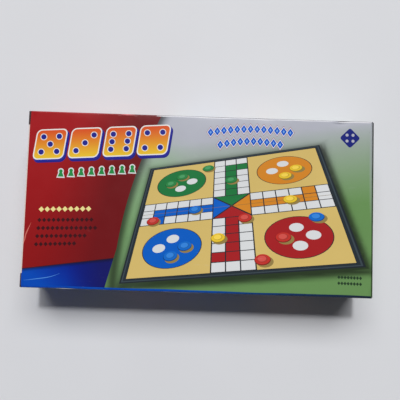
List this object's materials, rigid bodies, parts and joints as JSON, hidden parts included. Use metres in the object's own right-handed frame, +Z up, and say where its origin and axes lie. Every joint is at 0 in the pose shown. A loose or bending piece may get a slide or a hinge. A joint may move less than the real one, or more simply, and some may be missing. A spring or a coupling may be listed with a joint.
{
  "type": "tuck-end game carton with folding board case",
  "caption": "Tuck-end paperboard carton with hinged end lids, tuck tabs and dust flaps, holding a folding magnetic travel board case with pawns, die and leaflet.",
  "frame": {"origin": "middle of the carton's underside, on the surface it lies on", "axes": "+X along the long side towards the lid that is hinged on the front panel, +Y along the short side towards the glued seam, +Z up through the front panel"},
  "size_m": [0.26, 0.132, 0.0379],
  "materials": {
    "front_print": "gloss varnish over full-colour print",
    "back_print": "gloss varnish over print",
    "upper_side_print": "gloss varnish over print",
    "lower_side_print": "gloss varnish over blue print",
    "left_lid_print": "gloss varnish over red print",
    "right_lid_print": "gloss varnish over green print",
    "raw_board": "uncoated white-lined board",
    "case_plastic": "moulded, fine-grained",
    "printed_steel": "litho-printed and lacquered",
    "pin_steel": "drawn wire",
    "magnet_ferrite": "sintered ferrite",
    "die_plastic": "polished",
    "leaflet_paper": "uncoated",
    "red_pawn_plastic": "moulded gloss",
    "green_pawn_plastic": "moulded gloss",
    "blue_pawn_plastic": "moulded gloss",
    "yellow_pawn_plastic": "moulded gloss"
  },
  "bodies": {
    "sleeve": {"front_panel": "front_print", "back_panel": "back_print", "upper_side_panel": "upper_side_print", "lower_side_panel": "lower_side_print", "glue_flap": "raw_board"},
    "left_lid": {"left_lid": "left_lid_print"},
    "left_tuck_tab": {"left_tuck_tab": "left_lid_print"},
    "left_dust_flap_upper": {"left_dust_flap_upper": "raw_board"},
    "left_dust_flap_lower": {"left_dust_flap_lower": "raw_board"},
    "right_lid": {"right_lid": "right_lid_print"},
    "right_tuck_tab": {"right_tuck_tab": "right_lid_print"},
    "right_dust_flap_upper": {"right_dust_flap_upper": "raw_board"},
    "right_dust_flap_lower": {"right_dust_flap_lower": "raw_board"},
    "case_base": {"base_half": "case_plastic", "base_play_sheet": "printed_steel", "hinge_pin_left": "pin_steel", "hinge_pin_right": "pin_steel", "die": "die_plastic", "rules_leaflet": "leaflet_paper", "red_pawn_1": "red_pawn_plastic", "red_pawn_2": "red_pawn_plastic", "red_pawn_3": "red_pawn_plastic", "red_pawn_4": "red_pawn_plastic", "green_pawn_1": "green_pawn_plastic", "green_pawn_2": "green_pawn_plastic", "green_pawn_3": "green_pawn_plastic", "green_pawn_4": "green_pawn_plastic", "blue_pawn_1": "blue_pawn_plastic", "blue_pawn_2": "blue_pawn_plastic", "blue_pawn_3": "blue_pawn_plastic", "blue_pawn_4": "blue_pawn_plastic", "yellow_pawn_1": "yellow_pawn_plastic", "yellow_pawn_2": "yellow_pawn_plastic", "yellow_pawn_3": "yellow_pawn_plastic", "yellow_pawn_4": "yellow_pawn_plastic", "red_pawn_magnets": "magnet_ferrite", "green_pawn_magnets": "magnet_ferrite", "blue_pawn_magnets": "magnet_ferrite", "yellow_pawn_magnets": "magnet_ferrite"},
    "case_cover": {"cover_half": "case_plastic", "cover_play_sheet": "printed_steel"}
  },
  "joints": [
    {"name": "left_lid_hinge", "type": "hinge", "parent": "sleeve", "child": "left_lid", "pos_m": [-0.12955, 0, 0.00045], "axis": [0, -1, 0], "range_deg": [0, 90]},
    {"name": "left_tuck_tab_crease", "type": "hinge", "parent": "left_lid", "child": "left_tuck_tab", "pos_m": [-0.12955, 0, 0.03699], "axis": [0, -1, 0], "range_deg": [0, 10.8]},
    {"name": "left_dust_flap_upper_crease", "type": "hinge", "parent": "sleeve", "child": "left_dust_flap_upper", "pos_m": [-0.12895, 0.06552, 0.01897], "axis": [0, 0, -1], "range_deg": [0, 36]},
    {"name": "left_dust_flap_lower_crease", "type": "hinge", "parent": "sleeve", "child": "left_dust_flap_lower", "pos_m": [-0.12895, -0.06552, 0.01897], "axis": [0, 0, 1], "range_deg": [0, 36]},
    {"name": "right_lid_hinge", "type": "hinge", "parent": "sleeve", "child": "right_lid", "pos_m": [0.12955, 0, 0.03749], "axis": [0, -1, 0], "range_deg": [0, 180]},
    {"name": "right_tuck_tab_crease", "type": "hinge", "parent": "right_lid", "child": "right_tuck_tab", "pos_m": [0.12955, 0, 0.00095], "axis": [0, -1, 0], "range_deg": [0, 21.6]},
    {"name": "right_dust_flap_upper_crease", "type": "hinge", "parent": "sleeve", "child": "right_dust_flap_upper", "pos_m": [0.12895, 0.06552, 0.01897], "axis": [0, 0, 1], "range_deg": [0, 72]},
    {"name": "right_dust_flap_lower_crease", "type": "hinge", "parent": "sleeve", "child": "right_dust_flap_lower", "pos_m": [0.12895, -0.06552, 0.01897], "axis": [0, 0, -1], "range_deg": [0, 72]},
    {"name": "case_slide", "type": "slide", "parent": "sleeve", "child": "case_base", "axis": [1, 0, 0], "range_m": [-0.00145, 0.00145]},
    {"name": "board_fold", "type": "hinge", "parent": "case_base", "child": "case_cover", "pos_m": [-0.0047, 0.06078, 0.01745], "axis": [-1, 0, 0], "range_deg": [0, 0.25]}
  ],
  "couplings": [
    {"joint": "left_tuck_tab_crease", "follows": "left_lid_hinge", "ratio": 0.12},
    {"joint": "left_dust_flap_upper_crease", "follows": "left_lid_hinge", "ratio": 0.4},
    {"joint": "left_dust_flap_lower_crease", "follows": "left_lid_hinge", "ratio": 0.4},
    {"joint": "right_tuck_tab_crease", "follows": "right_lid_hinge", "ratio": 0.12},
    {"joint": "right_dust_flap_upper_crease", "follows": "right_lid_hinge", "ratio": 0.4},
    {"joint": "right_dust_flap_lower_crease", "follows": "right_lid_hinge", "ratio": 0.4}
  ]
}
